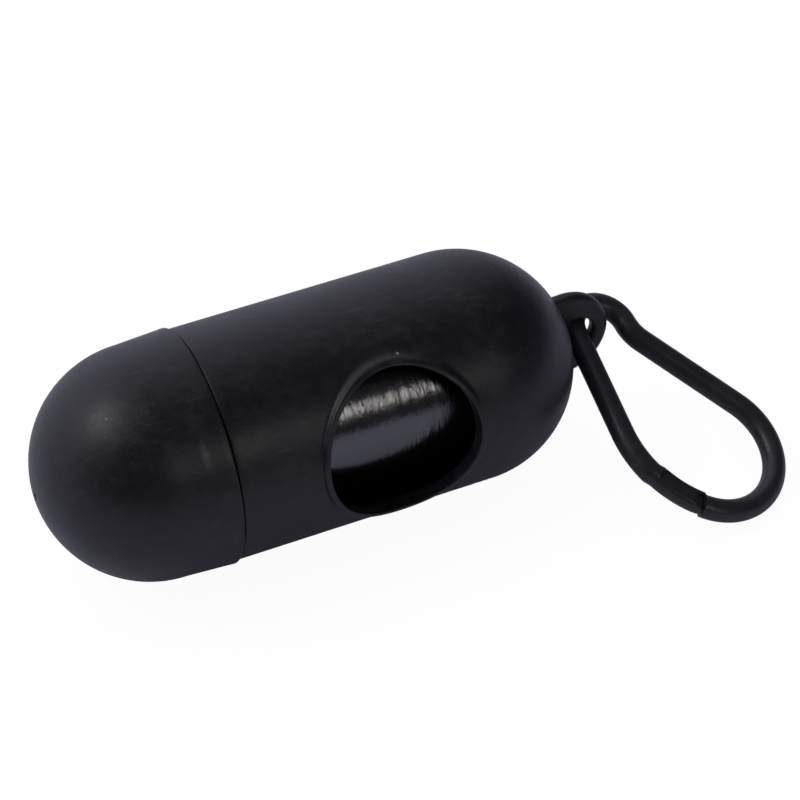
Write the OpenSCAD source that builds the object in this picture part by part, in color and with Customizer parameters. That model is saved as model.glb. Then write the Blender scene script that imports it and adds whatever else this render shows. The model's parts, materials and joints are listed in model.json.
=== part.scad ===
// Capsule-shaped dispenser for a roll of small bags, with a moulded spring clip.
// Units are millimetres, +Z up. The capsule lies on its side along X: the
// screw-on cap is at -X, the closed dome with the eyelet at +X, and the window
// that the bags are pulled through faces -Y. Z = 0 is the table it lies on.

/* [Capsule] */
// Outer diameter of the barrel where it meets the cap
barrel_d = 37; // [34:0.5:42]
// How much the barrel's radius grows towards the closed dome (mould draft)
barrel_draft = 0.15; // [0:0.05:0.4]
// Distance between the centres of the two domes
dome_gap = 51.8; // [46:0.2:62]
// Wall thickness of the barrel
barrel_wall = 1.6; // [1.2:0.1:2]
// Height of the capsule's axis above the table
axis_lift = 0.0; // [0:0.05:0.2]

/* [Cap] */
// How far the cap's rim stands out beyond the barrel
rim_proud = 0.4; // [0.2:0.05:0.8]
// How much the skirt's radius shrinks from the rim to the dome (mould draft)
cap_draft = 0.45; // [0.2:0.05:0.6]
// Length of the cap's straight skirt, from its rim to the centre of its dome
skirt_l = 8; // [6:0.5:12]
// Wall thickness of the cap
cap_wall = 1.6; // [1.2:0.1:1.9]
// Gap between the cap's rim and the barrel's shoulder
seam_gap = 0.15; // [0.1:0.05:0.4]
// Chamfer on the cap's rim and on the barrel's shoulder
edge_chamfer = 0.3; // [0.1:0.05:0.5]

/* [Neck] */
// Length of the neck that the cap screws over
neck_l = 6.4; // [4:0.2:7.5]
// Wall thickness of the neck
neck_wall = 1.3; // [1:0.1:1.6]
// Clearance between the neck and the inside of the cap, where the threads lie
neck_gap = 0.7; // [0.5:0.05:0.9]

/* [Window] */
// Diameter of the opening in the window
window_d = 24.9; // [20:0.1:26]
// Distance of the window's centre from the middle of the capsule
window_x = 8.55; // [4:0.05:12]
// Angle of the window above the horizontal
window_tilt = 12.4; // [0:0.2:20]
// Width of the bead round the window
bead_w = 1; // [0.6:0.1:1.6]
// How far the bead stands up from the barrel
bead_h = 0.9; // [0.5:0.1:1.4]

/* [Eyelet] */
// Half the height of the tab, which is also the radius of its rounded end
tab_r = 6.2; // [5.6:0.1:7]
// How far the tab reaches beyond the dome
tab_reach = 7.7; // [7.2:0.1:9]
// Thickness of the tab
tab_t = 2.4; // [2:0.1:2.8]
// How much larger than half the tab's thickness the arc of its rounded rim is
rim_extra = 0.1; // [0.05:0.05:0.4]
// Diameter of the hole in the tab
hole_d = 5.4; // [5.2:0.1:6]
// Wall between the hole and the tab's rounded end
hole_wall = 2; // [1.8:0.1:2.4]

/* [Clip] */
// Diameter of the clip's round rod
rod_d = 3.7; // [3.2:0.1:3.9]
// Radius of the small end that hangs in the eyelet, at the rod's middle
small_r = 4.6; // [4.4:0.1:5.2]
// Radius of the large end, at the rod's middle
large_r = 11.2; // [9:0.1:13]
// Distance between the centres of the two ends along the clip
ends_l = 26.4; // [22:0.2:34]
// Sideways offset between the centres of the two ends
ends_offset = 3.6; // [2:0.1:5]
// Slope of the back bar
bar_slope = 10; // [8:0.5:12]
// Slope of the gate arm
gate_slope = 29; // [26:0.5:32]
// Radius of the shoulder where the back bar meets the small end
shoulder_r = 6.6; // [5:0.2:9]
// Radius of the gate arm's bow, where its tongue lies
bow_r = 18; // [16:0.5:22]
// How far the small end's rod reaches back past the clip's origin
hang_back = 1.4; // [1.2:0.1:1.6]
// How far the small end's centre lies to the side of the clip's origin
hang_side = 4.25; // [4.05:0.05:4.45]
// How far the clip's origin lies back from the middle of the hole
hang_inset = 0.75; // [0.6:0.05:0.9]
// How far the clip's origin lies above and beside the middle of the hole
hang_shift = 0.2; // [0.1:0.05:0.3]
// Turn of the clip about the vertical
clip_turn = -60; // [-66:1:-54]

/* [Latch] */
// Angle by which the nose's tip stays short of the large end
tip_short = 2; // [1:0.5:4]
// Length over which the round rod steps down to a tongue
step_l = 0.25; // [0.2:0.05:0.5]
// Length of the gate arm's stiff root beyond the small end
root_l = 7.5; // [6.5:0.5:9]
// Length of the lap between the two tongues
lap_l = 10.6; // [8:0.2:12]
// Thickness of the nose's tongue, on the inner side
nose_t = 1.05; // [0.8:0.05:1.5]
// Gap between the two tongues
lap_gap = 0.3; // [0.2:0.05:0.5]
// Depth of the flats on the gate's tongue
flat_depth = 0.45; // [0.2:0.05:0.8]
// Gap at the ends of the two tongues
notch_l = 0.6; // [0.4:0.1:1]
// Slope of the tip of the gate's tongue, which opens the gap into a notch
tip_slope = 35; // [0:1:45]

/* [Bag roll] */
// How far the roll's axis lies below the barrel's
roll_slack = 0.4; // [0.2:0.1:3]
// Length of the wound bags
roll_l = 58; // [50:0.5:60]
// Thickness of the outer, loose turn of film
wrap_t = 0.2; // [0.1:0.05:0.25]
// Inner diameter of the cardboard core
core_bore = 12; // [9:0.5:14]
// Wall thickness of the core
core_wall = 1; // [0.6:0.1:1.5]
// How far the core stands out at each end of the bags
core_proud = 0.6; // [0.2:0.1:1]
// Gap between the roll and what it lies on
roll_gap = 0.3; // [0.3:0.05:0.5]
// Angle at which the last turn of film starts
wrap_start = 60; // [0:5:360]
// How far round the last turn of film reaches
wrap_turn = 120; // [60:5:170]

/* [Hidden] */

fine = 96;
rod_sides = 24;
// the loft's stations lie closer together on arcs with a small radius
tight_r = 8;
tight_step = 0.8;
wide_step = 1.6;
// angle left out where two arcs meet, so that no two stations coincide
skip_a = 5;

// capsule
barrel_r = barrel_d/2;
far_r = barrel_r + barrel_draft;
rim_r = barrel_r + rim_proud;
cap_r = rim_r - cap_draft;
axis_z = max(rim_r, far_r) + axis_lift;
far_x = dome_gap/2;
near_x = -dome_gap/2;
seam_x = near_x + skirt_l;
pole_x = far_x + far_r;
skirt_bore = rim_r - cap_wall;
neck_r = skirt_bore - neck_gap;
neck_bore = neck_r - neck_wall;

// window
window_r = window_d/2;
bead_r = window_r + bead_w;

// eyelet
hole_r = hole_d/2;
rim_round = tab_t/2 + rim_extra;
tab_cx = pole_x + tab_reach - tab_r;
hole_x = pole_x + tab_reach - hole_r - hole_wall;

// wound bags: the roll lies in the neck, its own axis a little below the barrel's
roll_r = neck_bore - roll_slack - roll_gap - wrap_t;
roll_z = axis_z - roll_slack;
core_r = core_bore/2 + core_wall;

// clip, in its own plane: X along the clip, Y across it, origin at the hole
rod_r = rod_d/2;
S = [small_r - hang_back, hang_side];
B = S + [ends_l, -ends_offset];
bar_dir = [cos(bar_slope), sin(bar_slope)];
bar_nrm = [-sin(bar_slope), cos(bar_slope)];
gate_dir = [cos(gate_slope), -sin(gate_slope)];
gate_nrm = [sin(gate_slope), cos(gate_slope)];
// where the gate arm leaves the small end
E = S - small_r*gate_nrm;
// centre of the bow: tangent to the arm's line, and to the large end from inside
ga = E + bow_r*gate_nrm - B;
gate_l = -ga*gate_dir - sqrt(pow(ga*gate_dir, 2) - ga*ga + pow(bow_r - large_r, 2));
K = E + gate_l*gate_dir;
G = K + bow_r*gate_nrm;
// where the back bar leaves the large end, and its shoulder at the small end
T = B + large_r*bar_nrm;
fa = T + shoulder_r*bar_nrm - S;
bar_l = fa*bar_dir - sqrt(pow(fa*bar_dir, 2) - fa*fa + pow(small_r + shoulder_r, 2));
W = T - bar_l*bar_dir;
F = W + shoulder_r*bar_nrm;

function dir_of(a, b) = atan2(b[1] - a[1], b[0] - a[0]);
function up_from(a, low) = a < low ? a + 360 : a;

a_small0 = dir_of(S, F);
a_small1 = up_from(gate_slope*-1 - 90, a_small0);
a_bow0 = -90 - gate_slope;
a_bow1 = dir_of(G, B);
a_large1 = up_from(90 + bar_slope, a_bow1);
a_fill0 = dir_of(F, S);
a_fill1 = bar_slope - 90;

// the lap, measured round the bow
tip_a = a_bow1 - tip_short;
lap_a = lap_l/bow_r*180/PI;
notch_a = notch_l/bow_r*180/PI;
lap_a0 = tip_a - lap_a - notch_a;
step_a = step_l/bow_r*180/PI;
nose_u = nose_t - rod_r;
gate_u = nose_u + lap_gap;

// the hinge line of the gate arm, on the outer face of its root
root_p = E + root_l*gate_dir;
hinge_p = root_p - rod_r*gate_nrm;

// the small end hangs through the eyelet and the large end leans on the table
clip_x = hole_x - hang_inset;
clip_y = hang_shift;
clip_z = axis_z + hang_shift;
clip_dip = asin((clip_z - rod_r)/(B[0] + large_r));

echo(hole = [hole_x, 0, axis_z], clip = [clip_x, clip_y, clip_z], dip = clip_dip, hinge = hinge_p);
echo(roll_z = roll_z);

module along_x(x) { translate([x, 0, axis_z]) rotate([0, 90, 0]) children(); }

// turned so that its local -Y looks out of the window
module facing_window() {
    translate([window_x, 0, axis_z]) rotate([-window_tilt, 0, 0]) rotate([90, 0, 0]) children();
}

// quarter of a disc on the axis: the profile of a dome, towards +Y or -Y
module dome_profile(r, y, side) {
    intersection() {
        translate([0, y]) circle(r = r, $fn = fine);
        translate([0, side > 0 ? y : y - r - 1]) square([r + 1, r + 1]);
    }
}

// profile of the barrel's wall: radius across, place along the axis upward
module barrel_profile() {
    inner_r = barrel_r - barrel_wall;
    mouth_x = seam_x - neck_l;
    difference() {
        union() {
            dome_profile(far_r, far_x, 1);
            polygon([
                [0, mouth_x], [neck_r - edge_chamfer, mouth_x], [neck_r, mouth_x + edge_chamfer],
                [neck_r, seam_x], [barrel_r - edge_chamfer, seam_x], [barrel_r, seam_x + edge_chamfer],
                [far_r, far_x], [0, far_x]]);
        }
        union() {
            dome_profile(far_r - barrel_wall, far_x, 1);
            polygon([
                [-1, mouth_x - 1], [neck_bore, mouth_x - 1], [neck_bore, seam_x + 1],
                [inner_r, seam_x + 1 + inner_r - neck_bore], [far_r - barrel_wall, far_x], [-1, far_x]]);
        }
    }
}

// profile of the cap's wall
module cap_profile() {
    rim_x = seam_x - seam_gap;
    inner_r = cap_r - cap_wall;
    difference() {
        union() {
            dome_profile(cap_r, near_x, -1);
            polygon([
                [0, near_x], [cap_r, near_x], [rim_r, rim_x - edge_chamfer],
                [rim_r - edge_chamfer, rim_x], [0, rim_x]]);
        }
        union() {
            dome_profile(inner_r, near_x, -1);
            polygon([
                [-1, near_x], [inner_r, near_x], [skirt_bore, near_x + skirt_bore - inner_r],
                [skirt_bore, rim_x + 1], [-1, rim_x + 1]]);
        }
    }
}

// bead that follows the barrel round the window
module window_bead() {
    intersection() {
        facing_window() cylinder(r = bead_r, h = barrel_r + bead_h + 2, $fn = fine);
        along_x(window_x - bead_r - 1) cylinder(r = barrel_r + bead_h, h = 2*bead_r + 2, $fn = fine);
    }
}

// the tab's rim is rounded by an arc a little larger than half its thickness
module tab_section() {
    intersection() {
        translate([0, -tab_t/2]) square([tab_r, tab_t]);
        union() {
            translate([-1, -tab_t]) square([1 + tab_r - rim_round, 2*tab_t]);
            translate([tab_r - rim_round, 0]) circle(r = rim_round, $fn = 64);
        }
    }
}

// tab in its own plane, origin on the pole of the dome, hole along Z
module tab() {
    difference() {
        union() {
            translate([tab_cx - pole_x, 0, 0]) rotate([0, 0, -90])
                rotate_extrude(angle = 180, $fn = fine) tab_section();
            for (s = [0, 1]) mirror([0, s, 0]) translate([-far_r/2, 0, 0]) rotate([90, 0, 90])
                linear_extrude(far_r/2 + tab_cx - pole_x) tab_section();
        }
        translate([hole_x - pole_x, 0, 0]) rotate_extrude($fn = fine) difference() {
            translate([0, -tab_t]) square([hole_r + rim_round, 2*tab_t]);
            translate([hole_r + rim_round, 0]) circle(r = rim_round, $fn = 64);
        }
    }
}

module barrel() color([0.11, 0.11, 0.12]) {
    difference() {
        union() {
            along_x(0) rotate_extrude($fn = fine) barrel_profile();
            intersection() {
                window_bead();
                along_x(seam_x + 1) difference() {
                    cylinder(r = barrel_r + bead_h + 1, h = far_x - seam_x, $fn = fine);
                    translate([0, 0, -1])
                        cylinder(r = barrel_r - barrel_wall/2, h = far_x - seam_x + 2, $fn = fine);
                }
            }
            difference() {
                translate([pole_x, 0, axis_z]) rotate([90, 0, 0]) tab();
                along_x(far_x) sphere(r = far_r - barrel_wall/2, $fn = fine);
            }
        }
        facing_window() cylinder(r = window_r, h = barrel_r + bead_h + 3, $fn = fine);
    }
}

module cap() color([0.12, 0.12, 0.13]) {
    along_x(0) rotate_extrude($fn = fine) cap_profile();
}

module roll_axis(x) { translate([x, 0, roll_z]) rotate([0, 90, 0]) children(); }

module roll_core() color([0.62, 0.5, 0.36]) {
    core_l = roll_l + 2*core_proud;
    difference() {
        roll_axis(-core_l/2) cylinder(r = core_r, h = core_l, $fn = fine);
        roll_axis(-core_l/2 - 1) cylinder(r = core_bore/2, h = core_l + 2, $fn = fine);
    }
}

// the wound bags, with the loose end of the last turn as a low step
module bag_roll() color([0.06, 0.06, 0.07]) {
    reach = 4*roll_r;
    roll_axis(-roll_l/2) rotate([0, 0, wrap_start]) linear_extrude(roll_l) difference() {
        union() {
            circle(r = roll_r, $fn = fine);
            intersection() {
                circle(r = roll_r + wrap_t, $fn = fine);
                polygon([[0, 0], [reach, 0], [reach, reach], reach*[cos(wrap_turn), sin(wrap_turn)]]);
            }
        }
        circle(r = core_r, $fn = fine);
    }
}

// Stations of the rod, from which its skin is lofted. Each one holds the middle
// of the section, the outward normal, the direction of travel, and the section:
// [middle, least and greatest distance outward, greatest height, tip slope].
round_section = [0, -2*rod_r, 2*rod_r, 2*rod_r, 0];
nose_section = [(nose_u - rod_r)/2, -2*rod_r, nose_u, 2*rod_r, 0];
gate_section = [(gate_u + rod_r)/2, gate_u, 2*rod_r, rod_r - flat_depth, 0];
gate_tip = [(gate_u + rod_r)/2, gate_u, 2*rod_r, rod_r - flat_depth, -tan(tip_slope)];

// stations round a centre from angle a0 to a1, with the centre on the inner side
function arc_stations(c, r, a0, a1, section = round_section, bend = 1) =
    let(step = r < tight_r ? tight_step : wide_step, n = max(1, ceil(abs(a1 - a0)*PI/180*r/step)))
    [for (i = [0:n]) let(a = a0 + (a1 - a0)*i/n, d = [cos(a), sin(a)])
        [c + r*d, bend*d, bend*[-sin(a), cos(a)], section]];

// where the skin lies in the direction f from the middle of a section: on the
// round rod or on the nearest flat that cuts it
function flat_at(gap, slope) = slope > 0.01 ? gap/slope : 2*rod_d;
function skin(f, s) =
    let(c = cos(f), w = sin(f))
    min(-s[0]*c + sqrt(pow(s[0]*c, 2) - s[0]*s[0] + rod_r*rod_r),
        flat_at(s[2] - s[0], c), flat_at(s[0] - s[1], -c), flat_at(s[3], abs(w)));

function ring(st) = [for (i = [0:rod_sides - 1])
    let(f = 360*(i + 0.5)/rod_sides, s = st[3], d = skin(f, s), u = s[0] + d*cos(f),
        p = st[0] + u*st[1] + s[4]*(u - s[1])*st[2])
    [p[0], p[1], d*sin(f)]];

function middle(st) =
    let(s = st[3], p = st[0] + s[0]*st[1] + s[4]*(s[0] - s[1])*st[2]) [p[0], p[1], 0];

// one closed skin through all the stations
module loft(stations) {
    n = rod_sides;
    m = len(stations);
    polyhedron(
        points = concat(
            [for (st = stations) each ring(st)],
            [for (k = [0, m - 1]) middle(stations[k])]),
        faces = concat(
            [for (k = [0:m - 2], i = [0:n - 1]) [k*n + i, k*n + (i + 1)%n, (k + 1)*n + (i + 1)%n]],
            [for (k = [0:m - 2], i = [0:n - 1]) [k*n + i, (k + 1)*n + (i + 1)%n, (k + 1)*n + i]],
            [for (i = [0:n - 1]) [m*n, (i + 1)%n, i]],
            [for (i = [0:n - 1]) [m*n + 1, (m - 1)*n + i, (m - 1)*n + (i + 1)%n]]));
}

module in_clip_place() {
    translate([clip_x, clip_y, clip_z]) rotate([0, clip_dip, clip_turn]) children();
}

// from the tip of the nose round the large end, up the back bar, round the
// small end and down to the root of the gate arm
module clip_hook() color([0.1, 0.1, 0.11]) in_clip_place() loft(concat(
    arc_stations(G, bow_r, tip_a - lap_a, tip_a, nose_section),
    arc_stations(G, bow_r, tip_a + step_a, a_bow1),
    arc_stations(B, large_r, a_bow1 + skip_a, a_large1),
    [[W, bar_nrm, -bar_dir, round_section]],
    arc_stations(F, shoulder_r, a_fill1 - skip_a, a_fill0, round_section, -1),
    arc_stations(S, small_r, a_small0 + skip_a, a_small1),
    [[root_p, -gate_nrm, gate_dir, round_section]]));

// the springy arm, with its outer tongue
module clip_gate() color([0.13, 0.13, 0.14]) in_clip_place() loft(concat(
    [[root_p, -gate_nrm, gate_dir, round_section]],
    arc_stations(G, bow_r, a_bow0, lap_a0),
    arc_stations(G, bow_r, lap_a0 + step_a, tip_a - 2*notch_a, gate_section),
    arc_stations(G, bow_r, tip_a - notch_a, tip_a - notch_a, gate_tip)));

barrel();
cap();
roll_core();
bag_roll();
clip_hook();
clip_gate();
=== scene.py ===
# A capsule-shaped dispenser for a roll of small bags, lying on a white table
# with its spring clip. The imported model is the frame, and every piece that is
# modelled here stands where its own node stands. Pieces are shaped in
# millimetres and scaled to metres when they are finished.
import json
import math

import bmesh
import bpy
from mathutils import Matrix, Vector


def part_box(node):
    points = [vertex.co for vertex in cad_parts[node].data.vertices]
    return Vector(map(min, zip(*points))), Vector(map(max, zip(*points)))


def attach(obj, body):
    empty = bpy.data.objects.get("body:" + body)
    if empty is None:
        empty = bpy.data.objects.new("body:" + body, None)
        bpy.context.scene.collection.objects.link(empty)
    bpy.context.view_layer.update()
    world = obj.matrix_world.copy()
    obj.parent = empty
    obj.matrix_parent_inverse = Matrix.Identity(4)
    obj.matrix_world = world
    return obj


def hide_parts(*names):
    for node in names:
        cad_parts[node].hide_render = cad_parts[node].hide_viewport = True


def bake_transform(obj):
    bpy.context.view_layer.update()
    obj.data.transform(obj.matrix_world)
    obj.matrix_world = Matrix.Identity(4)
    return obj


mm = 0.001
weld = 1e-4   # points closer than this many millimetres become one
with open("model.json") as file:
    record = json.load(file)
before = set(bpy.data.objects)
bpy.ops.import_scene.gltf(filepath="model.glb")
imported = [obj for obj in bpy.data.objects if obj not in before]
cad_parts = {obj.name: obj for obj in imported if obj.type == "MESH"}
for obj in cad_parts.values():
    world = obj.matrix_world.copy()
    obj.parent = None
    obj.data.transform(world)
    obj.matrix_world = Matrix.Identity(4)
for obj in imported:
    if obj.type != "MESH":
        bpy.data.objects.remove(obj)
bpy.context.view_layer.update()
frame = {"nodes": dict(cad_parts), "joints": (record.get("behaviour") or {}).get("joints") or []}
print("frame loaded:", ", ".join(sorted(frame["nodes"])))

joints = {joint["name"]: joint for joint in frame["joints"]}
barrelLow, barrelHigh = [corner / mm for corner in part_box("barrel")]
capLow, capHigh = [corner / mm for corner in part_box("cap")]
rollLow, rollHigh = [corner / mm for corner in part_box("bag_roll")]
coreLow, coreHigh = [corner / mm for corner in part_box("roll_core")]
axisZ = (capLow.z + capHigh.z) / 2   # height of the capsule's axis
rimR = (capHigh.z - capLow.z) / 2    # radius of the cap's rim
rollZ = joints["roll_spin"]["pos_m"][2] / mm
eyelet = Vector(joints["clip_swing"]["pos_m"]) / mm


view = dict(
    place=(-0.11388, -0.27814, 0.29010), turn=-25.05, drop=41.82,
    lens=117, sensor=36, nearest=0.01, farthest=20,
)


def makeCamera():
    lens = bpy.data.cameras.new("camera")
    lens.lens = view["lens"]
    lens.sensor_width = view["sensor"]
    lens.clip_start = view["nearest"]
    lens.clip_end = view["farthest"]
    camera = bpy.data.objects.new("camera", lens)
    camera.location = view["place"]
    camera.rotation_euler = (
        math.radians(90 - view["drop"]), 0, math.radians(view["turn"]))
    bpy.context.scene.collection.objects.link(camera)
    bpy.context.scene.camera = camera


makeCamera()
print("camera placed")


class Wire:   # one output of a node, on which sums can be written
    def __init__(self, finish, socket):
        self.finish = finish
        self.socket = socket

    def sum(self, operation, first, second):
        return self.finish.node(
            "ShaderNodeMath", dict(operation=operation), {0: first, 1: second})

    def __add__(self, other):
        return self.sum("ADD", self, other)

    def __radd__(self, other):
        return self.sum("ADD", other, self)

    def __sub__(self, other):
        return self.sum("SUBTRACT", self, other)

    def __rsub__(self, other):
        return self.sum("SUBTRACT", other, self)

    def __mul__(self, other):
        return self.sum("MULTIPLY", self, other)


class Finish:   # a material or a world, and its nodes
    def __init__(self, name, **constants):
        if name == "room":
            self.block = bpy.data.worlds.new(name)
            shader = "Background"
        else:
            self.block = bpy.data.materials.new(name)
            shader = "Principled BSDF"
        self.block.use_nodes = True
        self.tree = self.block.node_tree
        self.surface = self.tree.nodes[shader]
        for socket, value in constants.items():
            self.surface.inputs[socket.replace("_", " ")].default_value = value

    def node(self, kind, settings=None, sockets=None, out=0):
        made = self.tree.nodes.new(kind)
        for key, value in (settings or {}).items():
            setattr(made, key, value)
        for key, value in (sockets or {}).items():
            if isinstance(value, Wire):
                self.tree.links.new(value.socket, made.inputs[key])
            else:
                made.inputs[key].default_value = value
        return Wire(self, made.outputs[out])

    def feed(self, socket, wire):
        self.tree.links.new(wire.socket, self.surface.inputs[socket])

    def place(self, scale=(1, 1, 1), turn=(0, 0, 0)):
        here = self.node("ShaderNodeTexCoord", out="Object")
        return self.node("ShaderNodeMapping", {}, {
            "Vector": here, "Scale": scale, "Rotation": turn})

    def noise(self, scale, detail, rough, where=None):
        return self.node("ShaderNodeTexNoise", {}, {
            "Vector": where or self.place(), "Scale": scale,
            "Detail": detail, "Roughness": rough})

    def cells(self, scale, out):
        return self.node("ShaderNodeTexVoronoi", dict(distance="EUCLIDEAN", feature="F1"), {
            "Vector": self.place(), "Scale": scale, "Randomness": 1}, out)

    def ramp(self, value, low, high, start=0.0, end=1.0):
        return self.node("ShaderNodeMapRange", dict(interpolation_type="SMOOTHSTEP"), {
            "Value": value, "From Min": low, "From Max": high,
            "To Min": start, "To Max": end})

    def mix(self, factor, first, second):
        return self.node("ShaderNodeMix", dict(data_type="RGBA"), {
            "Factor": factor, 6: first, 7: second}, out=2)

    def vector(self, operation, sockets, out=0):
        return self.node("ShaderNodeVectorMath", dict(operation=operation), sockets, out)

    def spot(self, centre, radii, turn=(0, 0, 0)):
        # 1 at a point, fading to 0 at its radii
        here = self.node("ShaderNodeTexCoord", out="Object")
        moved = self.vector("SUBTRACT", {0: here, 1: centre})
        turned = self.node(
            "ShaderNodeVectorRotate", dict(rotation_type="EULER_XYZ", invert=True),
            {"Vector": moved, "Rotation": turn})
        scaled = self.vector("DIVIDE", {0: turned, 1: radii})
        return self.ramp(self.vector("LENGTH", {0: scaled}, out="Value"), 1.0, 0.0)

    def bump(self, height, distance, strength, below=None):
        sockets = {"Height": height, "Distance": distance, "Strength": strength}
        if below:
            sockets["Normal"] = below
        return self.node("ShaderNodeBump", {}, sockets, out="Normal")


halfway = 0.5   # the mean of a noise

plastic = dict(
    ior=1.43,
    colour=(0.0034, 0.0032, 0.0042, 1),
    # the colour of dust and scuffs, and also of the painted highlight on the cap's skirt
    dustAndHighlight=(0.040, 0.039, 0.041, 1),
    speck=(0.42, 0.42, 0.43, 1),
    rough=0.42,
    cloudy=0.14,      # how much the rubbed patches change the gloss
    grain=0.10,       # how much the mould's texture changes it
    scuffs=0.42,
    haze=0.21,
    dust=0.8,
    # scale, detail and roughness of each noise
    clouds=(70, 6, 0.68),            # handling marks
    blots=(520, 4, 0.62),
    texture=(1900, 3, 0.6),          # eroded mould surface
    streaks=(1, 3, 0.6),
    # how the streaks are squeezed and turned
    lengthwise=(120, 1500, 1500),
    slanted=(150, 1900, 1900),
    slant=(0.4, 0.7, 0.9),
    dustCells=330,
    # between which values each pattern goes from nothing to all
    dustSize=(0.12, 0.04),
    dustShare=(0.955, 0.962),
    wornSpan=(0.42, 0.62),
    lengthwiseSpan=(0.60, 0.74),
    slantedSpan=(0.62, 0.76),
    hazeSpan=(0.38, 0.72),
    leastHaze=0.35,                  # share of the haze where nothing is worn
    # depth in metres and strength of each bump
    textureBump=(0.000022, 0.8),
    blotBump=(0.00005, 0.7),
    cloudBump=(0.00008, 0.6),
    scuffsAndHighlight=[           # place, reach each way, turn and strength of each scuff; the fourth is a rubbed streak lightened as a painted highlight
        ((-0.0350, -0.00345, 0.0345), (0.0012, 0.00016, 0.00016), (0, -0.44, -0.30), 0.9),
        ((-0.0346, -0.00420, 0.0347), (0.0009, 0.00013, 0.00013), (0, -0.30, 0.20), 0.7),
        ((-0.0267, -0.0002, 0.0373), (0.0010, 0.00025, 0.00025), (0, 0, 0.10), 0.6),
        # a rubbed streak on the cap's skirt, lightened in colour as a painted highlight of the
        # front lamp
        ((-0.0220, -0.0146, 0.0307), (0.0009, 0.0008, 0.0030), (-0.66, 0, 0), 0.9),
        ((-0.0166, -0.0162, 0.0280), (0.0007, 0.00014, 0.00014), (0, 0, 0.05), 0.9),
        ((-0.0254, -0.0185, 0.0221), (0.0017, 0.0006, 0.0004), (0, 0.1, 0), 0.25),
        ((-0.0195, -0.0184, 0.0164), (0.0012, 0.0009, 0.0020), (0, 0.2, 0), 0.22),
    ],
    specks=[          # place, reach and strength
        ((-0.0337, -0.0052, 0.0348), 0.00026, 0.25),
        ((-0.0239, 0.0067, 0.0364), 0.00022, 0.25),
        ((-0.0370, -0.0144, 0.0160), 0.00024, 0.18),
        ((0.0110, -0.0099, 0.0346), 0.00042, 1.0),
    ],
)
clipPlastic = dict(
    plastic, colour=(0.0120, 0.0117, 0.0130, 1), rough=0.36, haze=0.27,
    scuffsAndHighlight=[], specks=[],
)


def makePlastic(name, look):
    finish = Finish(name, IOR=look["ior"])
    clouds = finish.noise(*look["clouds"])
    blots = finish.noise(*look["blots"])
    texture = finish.noise(*look["texture"])
    lengthwise = finish.noise(*look["streaks"], finish.place(look["lengthwise"]))
    slanted = finish.noise(
        *look["streaks"], finish.place(look["slanted"], look["slant"]))
    near = finish.cells(look["dustCells"], "Distance")
    chosen = finish.cells(look["dustCells"], "Color")
    rare = finish.node("ShaderNodeSeparateColor", {}, {"Color": chosen})
    dust = finish.ramp(near, *look["dustSize"]) * finish.ramp(rare, *look["dustShare"])
    worn = finish.ramp(clouds, *look["wornSpan"])
    scuffs = (finish.ramp(lengthwise, *look["lengthwiseSpan"])
              + finish.ramp(slanted, *look["slantedSpan"])) * worn
    least = look["leastHaze"]
    haze = finish.ramp(blots, *look["hazeSpan"]) * (least + worn * (1 - least))
    wearAndHighlight = scuffs * look["scuffs"] + haze * look["haze"] + dust * look["dust"]
    # the marks lighten the colour: scuffs, and one painted highlight on the cap's skirt
    for place, reach, turn, strength in look["scuffsAndHighlight"]:
        wearAndHighlight = wearAndHighlight + finish.spot(place, reach, turn) * strength
    colour = finish.mix(wearAndHighlight, look["colour"], look["dustAndHighlight"])
    for place, reach, strength in look["specks"]:
        share = finish.spot(place, (reach, reach, reach)) * strength
        colour = finish.mix(share, colour, look["speck"])
    finish.feed("Base Color", colour)
    finish.feed("Roughness", look["rough"]
                + (clouds - halfway) * (2 * look["cloudy"])
                + (blots - halfway) * look["cloudy"]
                + (texture - halfway) * look["grain"])
    fine = finish.bump(texture, *look["textureBump"])
    rubbed = finish.bump(blots, *look["blotBump"], fine)
    finish.feed("Normal", finish.bump(clouds, *look["cloudBump"], rubbed))
    return finish.block


filmLook = dict(
    colour=(0.0022, 0.0021, 0.0026, 1),
    rough=0.18,
    uneven=0.14,     # how much the ragged wrinkles change the gloss
    ior=1.92,        # several loose layers of film reflect more than one surface does
    # detail and roughness of each noise, and how it is squeezed
    ridges=(5, 0.62), ridgeScale=(1100, 120, 120),   # wrinkles round the roll
    folds=(3, 0.55), foldScale=(330, 60, 60),
    ragged=(4, 0.65), raggedScale=(900, 520, 520),
    # depth in metres and strength of each bump
    raggedBump=(0.00007, 0.8), ridgeBump=(0.00008, 0.9), foldBump=(0.00020, 0.8),
)


def makeFilm():
    look = filmLook
    finish = Finish("blackFilm", IOR=look["ior"], Base_Color=look["colour"])
    ridges = finish.noise(1, *look["ridges"], finish.place(look["ridgeScale"]))
    folds = finish.noise(1, *look["folds"], finish.place(look["foldScale"]))
    ragged = finish.noise(1, *look["ragged"], finish.place(look["raggedScale"]))
    finish.feed("Roughness", look["rough"] + (ragged - halfway) * look["uneven"])
    torn = finish.bump(ragged, *look["raggedBump"])
    small = finish.bump(ridges, *look["ridgeBump"], torn)
    finish.feed("Normal", finish.bump(folds, *look["foldBump"], small))
    return finish.block


boardLook = dict(
    ior=1.45,
    pale=(0.46, 0.34, 0.22, 1),
    dark=(0.30, 0.21, 0.13, 1),
    rough=0.82,
    uneven=0.2,
    fibres=(5, 0.7), fibreScale=(2200, 500, 500), fibreShare=0.6,
    blotch=(240, 3, 0.6),
    fibreBump=(0.00006, 0.7),
)


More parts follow.
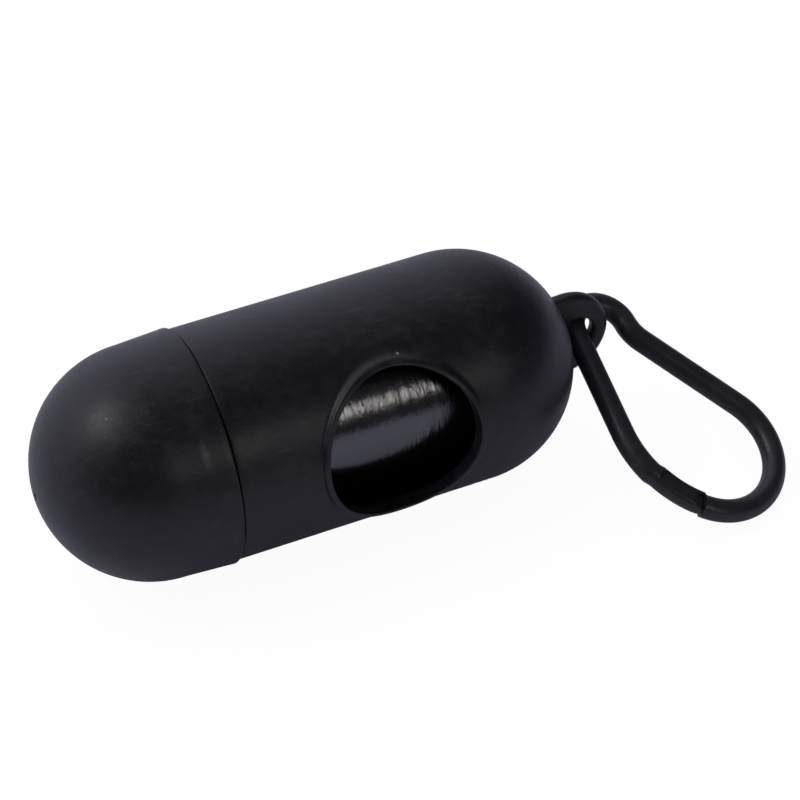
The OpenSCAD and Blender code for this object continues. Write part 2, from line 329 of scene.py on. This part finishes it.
def makeBoard():
    look = boardLook
    finish = Finish("woundBoard", IOR=look["ior"])
    fibres = finish.noise(1, *look["fibres"], finish.place(look["fibreScale"]))
    blotch = finish.noise(*look["blotch"])
    share = look["fibreShare"]
    finish.feed("Base Color", finish.mix(
        fibres * share + blotch * (1 - share), look["dark"], look["pale"]))
    finish.feed("Roughness", look["rough"] + (fibres - halfway) * look["uneven"])
    finish.feed("Normal", finish.bump(fibres, *look["fibreBump"]))
    return finish.block


capsuleMaterial = makePlastic("capsulePlastic", plastic)
clipMaterial = makePlastic("clipPlastic", clipPlastic)
filmMaterial = makeFilm()
boardMaterial = makeBoard()
print("materials made")


def unit(turn):
    return Vector((math.cos(math.radians(turn)), math.sin(math.radians(turn))))


def arc(centre, radius, start, end, count):
    # points on an arc in a profile plane, in degrees
    turns = [math.radians(start + (end - start) * i / count) for i in range(count + 1)]
    return [(centre[0] + radius * math.cos(a), centre[1] + radius * math.sin(a))
            for a in turns]


def chain(bm, points):
    verts = [bm.verts.new(point) for point in points]
    return verts + [bm.edges.new(pair) for pair in zip(verts, verts[1:])]


def lathe(bm, profile, steps):
    # turns a profile of (place along X, radius) once round the X axis
    made = chain(bm, [(x, 0, r) for x, r in profile])
    bmesh.ops.spin(bm, geom=made, cent=(0, 0, 0), axis=(1, 0, 0), angle=math.tau,
                   steps=steps, use_merge=True)
    bmesh.ops.remove_doubles(bm, verts=bm.verts, dist=weld)


def finishPiece(bm, name, material, sharp=32):
    bmesh.ops.recalc_face_normals(bm, faces=bm.faces)
    bmesh.ops.scale(bm, vec=(mm, mm, mm), verts=bm.verts)
    limit = math.radians(sharp)
    for edge in bm.edges:
        edge.smooth = len(edge.link_faces) == 2 and edge.calc_face_angle() < limit
    for face in bm.faces:
        face.smooth = True
    mesh = bpy.data.meshes.new(name)
    bm.to_mesh(mesh)
    bm.free()
    mesh.materials.append(material)
    piece = bpy.data.objects.new(name, mesh)
    bpy.context.scene.collection.objects.link(piece)
    print("made", name, len(mesh.polygons), "faces")
    return piece


def addThread(bm, thread, inward=False):
    # a ridge that climbs round the X axis; its ends fade into the wall
    side = -1 if inward else 1
    root = thread["wallR"] - side * thread["sink"]
    crest = thread["wallR"] + side * thread["height"]
    half, flat = thread["width"] / 2, thread["flat"] / 2
    start = thread["start"]
    corners = [(start - half, root), (start - flat, crest),
               (start + flat, crest), (start + half, root)]
    face = bm.faces.new([bm.verts.new((x, 0, r)) for x, r in corners])
    steps = int(thread["turns"] * thread["steps"])
    climb = thread["pitch"] * thread["turns"] / steps
    before = set(bm.verts)
    seed = list(face.verts)
    bmesh.ops.spin(bm, geom=[face], cent=(0, 0, 0), axis=(1, 0, 0), dvec=(climb, 0, 0),
                   angle=math.tau * thread["turns"], steps=steps, use_merge=False)
    for vert in seed + [v for v in bm.verts if v not in before]:
        around = math.atan2(-vert.co.y, vert.co.z) / math.tau
        turn = around + round((vert.co.x - start) / thread["pitch"] - around)
        fromEnd = min(turn, thread["turns"] - turn)
        fade = min(1, max(0, fromEnd / thread["fade"]))
        radius = math.hypot(vert.co.y, vert.co.z)
        lowered = root + (radius - root) * fade
        vert.co.y *= lowered / radius
        vert.co.z *= lowered / radius


barrel = dict(
    wall=1.6, draft=0.15, shoulder=0.3, lip=0.3, underRim=0.4,
    seamX=capHigh.x + 0.15, farX=25.9, neckR=16.6, neckBore=15.3,
    seamEase=0.2, boreMore=1, slopeMore=0.3, slopeClear=1.2,
    windowX=8.55, windowR=12.45, tilt=12.4,
    beadR=13.45, beadH=0.9, beadFoot=0.55, beadOuter=0.35, beadInner=0.3, edge=0.25,
    stripR=15.0, stripFlat=0.4, stripSlack=0.2, holeTop=0.6, holeLow=0.5,
    tabR=8.0, tabT=2.4, tabRound=0.95, tabMore=0.55, tabDrop=0.15,
    holeR=2.9, holeBack=0.35, holeDrop=0.2,
    # how finely it is built
    steps=128, patchAround=52, patchAlong=44, patchHalf=17.2, patchCuts=5,
    leadSteps=8, domeSteps=28, insideSteps=20, roundSteps=4, beadSteps=5,
    tabSides=96, tabSegments=6, tabSharp=1.2,
)
barrel["nearR"] = rimR - barrel["underRim"]
barrel["farR"] = barrel["nearR"] + barrel["draft"]


def outerRadius(x):
    share = (x - barrel["seamX"]) / (barrel["farX"] - barrel["seamX"])
    return barrel["nearR"] + barrel["draft"] * min(1, max(0, share))


def barrelProfile():
    farX, farR, seamX = barrel["farX"], barrel["farR"], barrel["seamX"]
    wall, shoulder, lip = barrel["wall"], barrel["shoulder"], barrel["lip"]
    mouthX, neckR, bore = barrelLow.x, barrel["neckR"], barrel["neckBore"]
    ease, rounded = barrel["seamEase"], barrel["roundSteps"]
    patchLow = barrel["windowX"] - barrel["patchHalf"]
    cell = 2 * barrel["patchHalf"] / barrel["patchAlong"]
    patch = [patchLow + cell * i for i in range(barrel["patchAlong"] + 1)]
    lead = [seamX + shoulder + (patchLow - seamX - shoulder) * i / barrel["leadSteps"]
            for i in range(1, barrel["leadSteps"])]
    outer = arc((farX, 0), farR, 0, 90, barrel["domeSteps"])
    outer += [(x, outerRadius(x)) for x in reversed(patch)]
    outer += [(x, outerRadius(x)) for x in reversed(lead)]
    outer += arc((seamX + shoulder, barrel["nearR"] - shoulder), shoulder, 90, 180, rounded)
    outer += [(seamX, neckR + ease), (seamX - ease, neckR)]
    outer += arc((mouthX + lip, neckR - lip), lip, 90, 180, rounded)
    inner = arc((mouthX + lip, bore + lip), lip, 180, 270, rounded)
    slope = neckR - bore + barrel["slopeMore"]
    foot = seamX + barrel["boreMore"]
    inner += [(foot, bore), (foot + slope, bore + slope)]
    inner += [(x, outerRadius(x) - wall) for x in lead
              if x > seamX + barrel["slopeClear"] + slope]
    inner += [(x, outerRadius(x) - wall) for x in patch]
    inner += arc((farX, 0), farR - wall, 90, 0, barrel["insideSteps"])
    return outer + inner


def beadProfile():
    # distance from the window's axis, and height over the barrel's surface
    hole, bead, top = barrel["windowR"], barrel["beadR"], barrel["beadH"]
    foot, outer, inner = barrel["beadFoot"], barrel["beadOuter"], barrel["beadInner"]
    edge, deep = barrel["edge"], -barrel["wall"]
    flat, steps = barrel["stripFlat"], barrel["beadSteps"]
    points = [(barrel["stripR"], 0), (barrel["stripR"] - flat, 0)]
    points += arc((bead + foot, foot), foot, 270, 180, steps)
    points += arc((bead - outer, top - outer), outer, 0, 90, steps)
    points += arc((hole + inner, top - inner), inner, 90, 180, steps)
    points += [(hole, top - inner - barrel["holeTop"]), (hole, -barrel["holeLow"])]
    points += arc((hole + edge, deep + edge), edge, 180, 270, barrel["roundSteps"])
    points += [(hole + edge + flat, deep)]
    return points


def patchBetween(bm, loops, offset):
    # fills from the window's ring to the opening left in the lathed skin
    ring = {v for e in loops[0] for v in e.verts}
    made = bmesh.ops.bridge_loops(bm, edges=loops[0] + loops[1])
    across = {e for f in made["faces"] for e in f.edges
              if (e.verts[0] in ring) != (e.verts[1] in ring)}
    cut = bmesh.ops.subdivide_edges(
        bm, edges=list(across), cuts=barrel["patchCuts"], use_grid_fill=True)
    for vert in {g for g in cut["geom"] if isinstance(g, bmesh.types.BMVert)}:
        radius = math.hypot(vert.co.y, vert.co.z)
        wanted = outerRadius(vert.co.x) + offset
        vert.co.y *= wanted / radius
        vert.co.z *= wanted / radius


def makeShell():
    # the window faces +Z here, and is turned into place at the end
    bm = bmesh.new()
    lathe(bm, barrelProfile(), barrel["steps"])
    halfTurn = math.tau * barrel["patchAround"] / 2 / barrel["steps"]
    centre, half = barrel["windowX"], barrel["patchHalf"]

    def inPatch(face):
        spot = face.calc_center_median()
        return abs(spot.x - centre) < half and abs(math.atan2(spot.y, spot.z)) < halfTurn

    bmesh.ops.delete(bm, geom=[f for f in bm.faces if inPatch(f)], context="FACES")
    middle = barrel["nearR"] - barrel["wall"] / 2
    rims = [e for e in bm.edges if e.is_boundary]
    outerRim = [e for e in rims if math.hypot(*e.verts[0].co.yz) > middle]
    innerRim = [e for e in rims if math.hypot(*e.verts[0].co.yz) < middle]
    high, depth = 30, 5   # the bead's profile is spun up here before it is bent
    before = set(bm.verts)
    made = chain(bm, [(centre + away, 0, high + up) for away, up in beadProfile()])
    bmesh.ops.spin(bm, geom=made, cent=(centre, 0, 0), axis=(0, 0, 1), angle=math.tau,
                   steps=2 * (barrel["patchAround"] + barrel["patchAlong"]),
                   use_merge=True)
    strip = [v for v in bm.verts if v not in before]
    bmesh.ops.remove_doubles(bm, verts=strip, dist=weld)
    strip = [v for v in bm.verts if v.co.z > high - depth]
    for vert in strip:
        reach = outerRadius(vert.co.x) + vert.co.z - high
        vert.co.z = math.sqrt(reach * reach - vert.co.y * vert.co.y)
    known = set(rims)
    edges = [e for e in bm.edges if e.is_boundary and e not in known]
    spread = barrel["stripR"] - barrel["stripSlack"]

    def away(edge):
        return math.hypot(edge.verts[0].co.x - centre, edge.verts[0].co.y)

    outerRing = [e for e in edges if away(e) > spread]
    innerRing = [e for e in edges if away(e) < spread]
    patchBetween(bm, (outerRing, outerRim), 0)
    patchBetween(bm, (innerRing, innerRim), -barrel["wall"])
    return bm


def addTab(bm):
    # a plate in the XZ plane with a rounded end, a rounded rim and a hole
    tab = bmesh.new()
    tabX = barrelHigh.x + barrel["tabMore"] - barrel["tabR"]
    rootR = barrel["farR"] - barrel["wall"] / 2   # the root ends inside the dome's wall
    sides, hair = barrel["tabSides"], 0.01
    outline = bmesh.ops.create_circle(tab, segments=sides, radius=barrel["tabR"])["verts"]
    for vert in outline:
        if vert.co.x > -hair:
            vert.co.x += tabX
        else:
            share = 2 * math.atan2(vert.co.y, -vert.co.x) / math.pi
            vert.co.y = barrel["tabR"] * share
            vert.co.x = barrel["farX"] + math.sqrt(rootR ** 2 - vert.co.y ** 2)

    def rooted(vert):
        return abs(math.hypot(vert.co.x - barrel["farX"], vert.co.y) - rootR) < hair

    hole = bmesh.ops.create_circle(tab, segments=sides, radius=barrel["holeR"])["verts"]
    for vert in hole:   # Y is down once the plate stands
        vert.co.x += eyelet.x - barrel["holeBack"]
        vert.co.y += barrel["holeDrop"] - barrel["tabDrop"]
    bmesh.ops.triangle_fill(tab, edges=tab.edges[:], use_beauty=True, use_dissolve=False)
    made = bmesh.ops.extrude_face_region(tab, geom=tab.faces[:])
    lifted = [g for g in made["geom"] if isinstance(g, bmesh.types.BMVert)]
    bmesh.ops.translate(tab, vec=(0, 0, barrel["tabT"]), verts=lifted)
    bmesh.ops.translate(tab, vec=(0, 0, -barrel["tabT"] / 2), verts=tab.verts)
    bmesh.ops.recalc_face_normals(tab, faces=tab.faces)
    rims = [e for e in tab.edges
            if len(e.link_faces) == 2 and e.calc_face_angle() > barrel["tabSharp"]
            and not (rooted(e.verts[0]) and rooted(e.verts[1]))]
    bmesh.ops.bevel(tab, geom=rims, affect="EDGES", offset=barrel["tabRound"],
                    segments=barrel["tabSegments"], profile=0.5, material=-1)
    upright = Matrix.Rotation(math.radians(-90), 3, "X")
    bmesh.ops.rotate(tab, cent=(0, 0, 0), matrix=upright, verts=tab.verts)
    bmesh.ops.translate(tab, vec=(0, 0, axisZ - barrel["tabDrop"]), verts=tab.verts)
    joined = bpy.data.meshes.new("tab")
    tab.to_mesh(joined)
    tab.free()
    bm.from_mesh(joined)
    bpy.data.meshes.remove(joined)


neckThread = dict(
    wallR=16.6, sink=0.15, height=0.32, width=1.3, flat=0.45, pitch=3.0,
    turns=1.45, start=barrelLow.x + 1.0, fade=0.12, steps=96,
)


def makeBarrel():
    bm = makeShell()
    addThread(bm, neckThread)
    turn = Matrix.Rotation(math.radians(90 - barrel["tilt"]), 3, "X")
    bmesh.ops.rotate(bm, cent=(0, 0, 0), matrix=turn, verts=bm.verts)
    bmesh.ops.translate(bm, vec=(0, 0, axisZ), verts=bm.verts)
    addTab(bm)
    piece = finishPiece(bm, "barrelShell", capsuleMaterial)
    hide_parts("barrel")
    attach(piece, "barrel")


cap = dict(
    wall=1.6, domeR=18.45, round=0.28, boreRound=0.2,
    # the moulding's feed point is a small pit in the pole: shares of its depth and radius
    pitR=0.55, pitDeep=0.28, pit=((1, 0), (1, 0.55), (0.4, 0.9)), pitEdge=1.3,
    steps=128, domeSteps=34, skirtSteps=6, rimSteps=4, boreSteps=3, insideSteps=24,
)
capThread = dict(
    wallR=rimR - cap["wall"], sink=0.15, height=0.30, width=1.3, flat=0.45, pitch=3.0,
    turns=1.3, start=capHigh.x - 4.6, fade=0.12, steps=96,
)


def capProfile():
    domeR, wall, soft = cap["domeR"], cap["wall"], cap["round"]
    domeX = capLow.x + domeR
    outer = [(capLow.x + cap["pitDeep"] * deep, cap["pitR"] * wide)
             for deep, wide in cap["pit"]]
    first = math.degrees(math.asin(cap["pitR"] * cap["pitEdge"] / domeR))
    outer += arc((domeX, 0), domeR, 180 - first, 90, cap["domeSteps"])
    skirt, count = capHigh.x - domeX, cap["skirtSteps"]
    outer += [(domeX + skirt * i / count, domeR + (rimR - domeR) * i / count)
              for i in range(1, count)]
    outer += arc((capHigh.x - soft, rimR - soft), soft, 90, 0, cap["rimSteps"])
    bore, inside, small = rimR - wall, domeR - wall, cap["boreRound"]
    inner = arc((capHigh.x - small, bore + small), small, 0, -90, cap["boreSteps"])
    inner += [(domeX + bore - inside, bore)]
    inner += arc((domeX, 0), inside, 90, 180, cap["insideSteps"])
    return outer + inner


def makeCap():
    bm = bmesh.new()
    lathe(bm, capProfile(), cap["steps"])
    addThread(bm, capThread, inward=True)
    bmesh.ops.translate(bm, vec=(0, 0, axisZ), verts=bm.verts)
    piece = finishPiece(bm, "capShell", capsuleMaterial)
    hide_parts("cap")
    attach(piece, "cap")


roll = dict(
    used=1.8,                   # bags already pulled off, in millimetres of radius
    round=0.35, roundSteps=4,
    windings=14, uneven=0.15,   # every other winding stands back by this at the ends
    coreStep=0.25,
    steps=192, rings=48,
)


def makeRoll():
    bm = bmesh.new()
    coreR = (coreHigh.y - coreLow.y) / 2
    rollR = rollHigh.z - rollZ - roll["used"]
    low, high, soft = rollLow.x, rollHigh.x, roll["round"]
    edgeR, rings, count = rollR - soft, roll["rings"], roll["windings"]
    profile = [(low + roll["coreStep"], coreR)]
    profile += [(low + roll["uneven"] * (i % 2), coreR + (edgeR - coreR) * i / count)
                for i in range(1, count)]
    profile += arc((low + soft, edgeR), soft, 180, 90, roll["roundSteps"])
    profile += [(low + soft + (high - low - 2 * soft) * i / rings, rollR)
                for i in range(1, rings)]
    profile += arc((high - soft, edgeR), soft, 90, 0, roll["roundSteps"])
    profile += [(high - roll["uneven"] * (i % 2), edgeR - (edgeR - coreR) * i / count)
                for i in range(1, count)]
    profile += [(high - roll["coreStep"], coreR)]
    lathe(bm, profile, roll["steps"])
    bmesh.ops.translate(bm, vec=(0, 0, rollZ), verts=bm.verts)
    piece = finishPiece(bm, "woundBags", filmMaterial, sharp=60)
    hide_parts("bag_roll")
    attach(piece, "roll")


clip = dict(
    rodR=1.88, smallR=4.9, largeR=11.2, endsL=26.1, endsOffset=3.85,
    barSlope=10, gateSlope=29.5, shoulderR=6.6, bowR=18,
    turn=-60, back=1.4, side=4.0, inset=0.75, shift=0.2,
    tipShort=2, rootL=7.5, bendL=7,
    # the lap: the nose of the rod in the arm's tongue
    lapL=8.2, lapSet=0.35, kinkL=1.5, kinkSteps=6, noseT=1.0, lapGap=0.08, flat=0.5,
    notch=0.1, rampL=1.7, rampDrop=0.75, rampSteps=5, soft=0.3,
    noseEnd=((0, 0.34), (0.08, 0.16), (0.24, 0.05)),   # places along it, and how far cut
    noseFrom=0.5, noseTo=0.3, tongueFrom=0.2, rodFrom=0.12,
    sides=48, step=0.45, closest=0.02, merge=1e-3,
)


def clipPath():
    # the same run of tangent arcs and lines as the frame's clip, in its own plane
    c = clip
    small = Vector((c["smallR"] - c["back"], c["side"]))
    large = small + Vector((c["endsL"], -c["endsOffset"]))
    barDir, barUp = unit(c["barSlope"]), unit(c["barSlope"] + 90)
    gateDir, gateUp = unit(-c["gateSlope"]), unit(90 - c["gateSlope"])
    leave = small - c["smallR"] * gateUp
    toBow = leave + c["bowR"] * gateUp - large
    reach = -toBow.dot(gateDir) - math.sqrt(
        toBow.dot(gateDir) ** 2 - toBow.dot(toBow) + (c["bowR"] - c["largeR"]) ** 2)
    bow = leave + reach * gateDir + c["bowR"] * gateUp
    top = large + c["largeR"] * barUp
    toBar = top + c["shoulderR"] * barUp - small
    barL = toBar.dot(barDir) - math.sqrt(
        toBar.dot(barDir) ** 2 - toBar.dot(toBar) + (c["smallR"] + c["shoulderR"]) ** 2)
    waist = top - barL * barDir
    shoulder = waist + c["shoulderR"] * barUp
    return dict(small=small, large=large, bow=bow, top=top, waist=waist,
                shoulder=shoulder, leave=leave, root=leave + c["rootL"] * gateDir,
                gateDir=gateDir, gateUp=gateUp, barUp=barUp)


def degreesFrom(a, b):
    return math.degrees(math.atan2(b.y - a.y, b.x - a.x))


def clipTurns(path):
    # where the lap's parts begin and end on the bow, in degrees round its centre
    c = clip
    perMm = 180 / math.pi / c["bowR"]
    bowEnd = degreesFrom(path["bow"], path["large"])
    tip = bowEnd - c["tipShort"]
    noseStart = tip - c["lapL"] * perMm
    lapStart = noseStart - c["notch"] * perMm
    return dict(perMm=perMm, bowStart=-90 - c["gateSlope"], bowEnd=bowEnd, tip=tip,
                noseStart=noseStart, lapStart=lapStart,
                kinkStart=lapStart - c["kinkL"] * perMm)


def station(centre, radius, turn, shape, bend=1):
    # one section of the rod: its middle, the way outward, and its shape
    return (centre + radius * unit(turn), bend * unit(turn), shape)


def arcStations(centre, radius, start, end, shape, bend=1):
    length = abs(math.radians(end - start)) * radius
    count = max(2, math.ceil(length / clip["step"]))
    return [station(centre, radius, start + (end - start) * i / count, shape, bend)
            for i in range(count + 1)]


def lineStations(start, end, out, shape):
    count = max(2, math.ceil((end - start).length / clip["step"]))
    return [(start.lerp(end, i / count), out, shape) for i in range(count + 1)]


def section(low=None, high=None, tall=None, corner=0):
    # how far a section of the rod reaches inward, outward and up from its middle
    r = clip["rodR"]
    return (-r if low is None else low, r if high is None else high, tall or r, corner)


def addRing(bm, middle, out):
    # one round section of the rod, and where each of its points lies across it
    ring = bmesh.ops.create_circle(
        bm, segments=clip["sides"], radius=clip["rodR"])["verts"]
    bmesh.ops.rotate(bm, cent=(0, 0, 0), verts=ring,
                     matrix=Matrix.Rotation(math.radians(180 / clip["sides"]), 3, "Z"))
    across = [(vert, vert.co.x, vert.co.y) for vert in ring]
    for vert, u, w in across:
        vert.co = (*(middle + u * out), w)
    return across


def press(across, middle, out, shape):
    # presses a section flat where the lap's faces cut it
    low, high, tall, corner = shape
    if high < 0:   # less than half the rod is left, so its flat face is narrower
        tall = min(tall, math.sqrt(clip["rodR"] ** 2 - high ** 2))
    for vert, u, w in across:
        u = min(high, max(low, u))
        w = min(tall, max(-tall, w))
        over = corner - (high - u) - (tall - abs(w))
        if over > 0:   # softens the nose's long edges
            u -= over / 2
            w -= math.copysign(over / 2, w)
        vert.co = (*(middle + u * out), w)


def sweep(stations, place):
    bm = bmesh.new()
    kept = [stations[0]]
    for middle, out, shape in stations[1:]:
        if (middle - kept[-1][0]).length > clip["closest"] or shape != kept[-1][2]:
            kept.append((middle, out, shape))
    rings = [addRing(bm, middle, out) for middle, out, shape in kept]
    loops = [list({e for vert, u, w in ring for e in vert.link_edges}) for ring in rings]
    for first, second in zip(loops, loops[1:]):
        bmesh.ops.bridge_loops(bm, edges=first + second)
    ends = [e for e in bm.edges if e.is_boundary]
    bmesh.ops.holes_fill(bm, edges=ends, sides=clip["sides"])
    for ring, (middle, out, shape) in zip(rings, kept):
        press(ring, middle, out, shape)
    bmesh.ops.remove_doubles(bm, verts=bm.verts, dist=clip["merge"])
    bmesh.ops.transform(bm, matrix=place, verts=bm.verts)
    return bm


def clipPlace(path):
    c = clip
    z = axisZ + c["shift"]
    dip = math.asin((z - c["rodR"]) / (path["large"].x + c["largeR"]))
    return (Matrix.Translation((eyelet.x - c["inset"], c["shift"], z))
            @ Matrix.Rotation(math.radians(c["turn"]), 4, "Z")
            @ Matrix.Rotation(dip, 4, "Y"))


def hookStations(path, turns):
    # from the rounded tip of the nose round both ends to the root of the arm
    c, perMm, full = clip, turns["perMm"], section()
    bow, lapR = path["bow"], c["bowR"] - c["lapSet"]
    noseTop = c["noseT"] - c["rodR"]
    nose = section(high=noseTop, corner=c["soft"])
    smallStart = degreesFrom(path["small"], path["shoulder"])
    smallEnd = 270 - c["gateSlope"]
    while smallEnd < smallStart:
        smallEnd += 360
    hook = [station(bow, lapR, turns["noseStart"] + along * perMm,
                    section(low=cut - c["rodR"], high=noseTop, corner=c["soft"]))
            for along, cut in c["noseEnd"]]
    hook += arcStations(bow, lapR, turns["noseStart"] + c["noseFrom"] * perMm,
                        turns["tip"] - c["noseTo"] * perMm, nose)
    hook += [station(bow, c["bowR"], turns["tip"], nose)]
    hook += arcStations(bow, c["bowR"], turns["tip"] + c["rodFrom"] * perMm,
                        turns["bowEnd"], full)
    hook += arcStations(path["large"], c["largeR"], turns["bowEnd"],
                        90 + c["barSlope"], full)
    hook += lineStations(path["top"], path["waist"], path["barUp"], full)
    hook += arcStations(path["shoulder"], c["shoulderR"], c["barSlope"] - 90,
                        degreesFrom(path["shoulder"], path["small"]), full, -1)
    hook += arcStations(path["small"], c["smallR"], smallStart, smallEnd, full)
    return hook + lineStations(path["leave"], path["root"], -path["gateUp"], full)


def armStations(path, turns):
    # the springy arm moves in at a kink and goes on as the outer tongue
    c, perMm, full = clip, turns["perMm"], section()
    bow, bowR, lapR = path["bow"], c["bowR"], c["bowR"] - c["lapSet"]
    under = c["noseT"] - c["rodR"] + c["lapGap"]
    tall = c["rodR"] - c["flat"]
    knee = bow + bowR * unit(turns["bowStart"])
    arm = lineStations(path["root"], knee, -path["gateUp"], full)
    arm += arcStations(bow, bowR, turns["bowStart"], turns["kinkStart"], full)
    for i in range(1, c["kinkSteps"] + 1):
        share = i / c["kinkSteps"]
        moved = c["lapSet"] * (share * share * (3 - 2 * share))
        turn = turns["kinkStart"] + (turns["lapStart"] - turns["kinkStart"]) * share
        arm.append(station(bow, bowR - moved, turn, section(low=moved - c["rodR"])))
    arm += arcStations(bow, lapR, turns["lapStart"] + c["tongueFrom"] * perMm,
                       turns["tip"] - (c["notch"] + c["rampL"]) * perMm,
                       section(low=under, tall=tall))
    for i in range(1, c["rampSteps"] + 1):   # the tongue thins to its end
        share = i / c["rampSteps"]
        back = c["notch"] + c["rampL"] * (1 - share)
        thin = section(low=under, tall=tall - c["rampDrop"] * share)
        arm.append(station(bow, lapR, turns["tip"] - back * perMm, thin))
    return arm


def makeClip():
    path = clipPath()
    turns, place = clipTurns(path), clipPlace(path)
    rod = finishPiece(sweep(hookStations(path, turns), place),
                      "clipRod", clipMaterial, sharp=40)
    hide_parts("clip_hook")
    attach(rod, "clip")
    gate = finishPiece(sweep(armStations(path, turns), place),
                       "clipArm", clipMaterial, sharp=40)
    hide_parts("clip_gate")
    bent = path["root"] + clip["bendL"] * path["gateDir"]
    start = place @ Vector((*path["root"], 0)) * mm
    end = place @ Vector((*bent, 0)) * mm
    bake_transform(gate)


def dressCore():
    core = frame["nodes"]["roll_core"]
    core.data.materials.clear()
    core.data.materials.append(boardMaterial)


makeBarrel()
makeCap()
makeRoll()
makeClip()
dressCore()


room = dict(
    size=3.0, floorColour=(0.62, 0.62, 0.67, 1), floorRough=0.9, floorShine=0.1,
    white=(1, 1, 1, 1), keepShadow=0.10, glow=1.06,
    bright=(-0.42, 0.84, 0.34),      # the way to the bright end of the room
    shineFrom=0.05, gloss=(0.075, 1.0),
    fillFrom=-0.6, fill=(0.25, 1.30), tint=(0.82, 0.82, 1.0, 1),
)


def makeTable():
    bm = bmesh.new()
    bmesh.ops.create_grid(bm, x_segments=4, y_segments=4, size=room["size"] / mm)
    table = finishPiece(bm, "table", makeTableMaterial())


def makeTableMaterial():
    finish = Finish("whiteTable", Roughness=room["floorRough"],
                    Base_Color=room["floorColour"], Specular_IOR_Level=room["floorShine"])
    glow = finish.node("ShaderNodeEmission", {}, {
        "Color": room["white"], "Strength": room["glow"]})
    seen = finish.node("ShaderNodeLightPath", out="Is Camera Ray")
    through = finish.node("ShaderNodeLightPath", out="Is Transmission Ray")
    share = (seen + through) * (1 - room["keepShadow"])
    lit = Wire(finish, finish.surface.outputs[0])
    mixed = finish.node("ShaderNodeMixShader", {}, {0: share, 1: lit, 2: glow})
    output = finish.tree.nodes["Material Output"]
    finish.tree.links.new(mixed.socket, output.inputs["Surface"])
    return finish.block


def makeSky():
    # the camera sees white, and the object sees a room bright behind it and dim in front
    sky = Finish("room")
    bpy.context.scene.world = sky.block
    way = sky.node("ShaderNodeTexCoord", out="Generated")
    bright = Vector(room["bright"]).normalized()
    toward = sky.vector("DOT_PRODUCT", {0: way, 1: bright}, out="Value")
    camera = sky.node("ShaderNodeLightPath", out="Is Camera Ray")
    through = sky.node("ShaderNodeLightPath", out="Is Transmission Ray")
    mirrored = sky.node("ShaderNodeLightPath", out="Is Glossy Ray")
    seen = camera + through
    shine = sky.ramp(toward, room["shineFrom"], 1.0, *room["gloss"])
    fill = sky.ramp(toward, room["fillFrom"], 1.0, *room["fill"])
    other = mirrored * shine + (1 - mirrored) * fill
    sky.feed("Strength", seen + (1 - seen) * other)
    sky.feed("Color", sky.mix(seen, room["tint"], room["white"]))


lamps = [
    dict(name="frontWindow", at=(0.140, -0.505, 0.315), aim=(0, -0.01, 0.03),
         size=(0.085, 0.15), radiance=6.9, colour=(1.0, 0.95, 0.93)),
    dict(name="highLamp", at=(-0.43, 0.17, 0.60), aim=(-0.034, -0.005, 0.03),
         size=(0.24, 0.24), radiance=6.2, colour=(1.0, 1.0, 1.0)),
]


def makeLamps():
    for lamp in lamps:
        light = bpy.data.lights.new(lamp["name"], "AREA")
        light.shape = "RECTANGLE"
        light.size, light.size_y = lamp["size"]
        light.energy = lamp["radiance"] * math.pi * lamp["size"][0] * lamp["size"][1]
        light.color = lamp["colour"]
        holder = bpy.data.objects.new(lamp["name"], light)
        holder.location = lamp["at"]
        toward = Vector(lamp["aim"]) - Vector(lamp["at"])
        holder.rotation_euler = toward.to_track_quat("-Z", "Y").to_euler()
        bpy.context.scene.collection.objects.link(holder)


makeTable()
makeSky()
makeLamps()
bpy.context.scene.view_settings.view_transform = "Standard"
print("table and lamps set")
